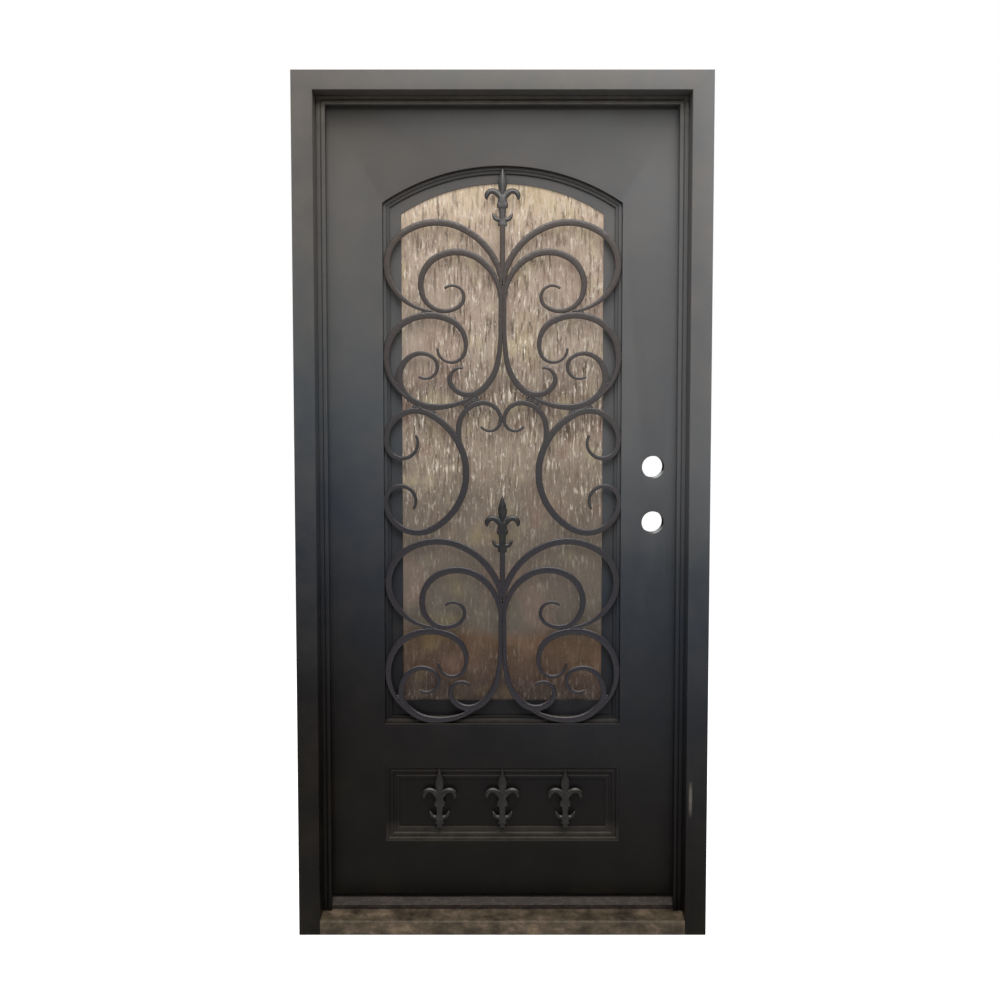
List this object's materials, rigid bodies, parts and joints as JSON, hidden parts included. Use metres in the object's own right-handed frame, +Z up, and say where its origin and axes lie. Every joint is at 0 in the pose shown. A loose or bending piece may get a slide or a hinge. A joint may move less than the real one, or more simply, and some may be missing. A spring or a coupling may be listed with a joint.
{
  "type": "wrought iron entry door with frame",
  "caption": "Single inswing iron entry door in a steel frame, with an arched glazed light behind forged scrollwork, a recessed kick panel with cast fleurs, and bored for a lock.",
  "frame": {"origin": "middle of the underside of the threshold, half way through the frame's depth", "axes": "+X to the right seen from outside, +Y from the outside to the inside, +Z up"},
  "size_m": [0.9906, 0.1794, 2.0701],
  "materials": {
    "bronze_iron": "satin dark bronze paint",
    "sill_metal": "worn dusty brown paint",
    "seal_rubber": "matt black",
    "rain_glass": "cast with a rain pattern",
    "clear_glass": "clear float",
    "spacer_aluminium": "mill"
  },
  "bodies": {
    "frame": {"jamb_left": "bronze_iron", "jamb_right": "bronze_iron", "header": "bronze_iron", "threshold": "sill_metal", "stop_left": "bronze_iron", "stop_right": "bronze_iron", "stop_head": "bronze_iron", "weatherstrip": "seal_rubber", "frame_hinge_knuckles": "bronze_iron"},
    "leaf": {"leaf_hinge_knuckles": "bronze_iron", "stile_hinge_side": "bronze_iron", "stile_lock_side": "bronze_iron", "top_rail": "bronze_iron", "middle_rail": "bronze_iron", "bottom_rail": "bronze_iron", "door_sweep": "seal_rubber", "kick_panel": "bronze_iron", "kick_moulding_rails": "bronze_iron", "kick_moulding_sides": "bronze_iron", "kick_fleurs": "bronze_iron", "window_trim_sides": "bronze_iron", "window_trim_bottom": "bronze_iron", "window_trim_arch": "bronze_iron", "sash_sides": "bronze_iron", "sash_bottom": "bronze_iron", "sash_arch": "bronze_iron", "glazing_bead_sides": "bronze_iron", "glazing_bead_bottom": "bronze_iron", "glazing_bead_arch": "bronze_iron", "rain_glass": "rain_glass", "glass_spacer": "spacer_aluminium", "inner_glass": "clear_glass", "sash_hinges": "bronze_iron", "sash_latches": "bronze_iron", "crown_scrolls": "bronze_iron", "inner_spirals": "bronze_iron", "belly_scrolls": "bronze_iron", "curled_scrolls": "bronze_iron", "split_bars": "bronze_iron", "c_scrolls": "bronze_iron", "small_curls": "bronze_iron", "stem_bars": "bronze_iron", "window_fleurs": "bronze_iron"}
  },
  "joints": [
    {"name": "leaf_swing", "type": "hinge", "parent": "frame", "child": "leaf", "pos_m": [-0.442, 0.0922, 1.04], "axis": [0, 0, 1], "range_deg": [0, 110]}
  ]
}
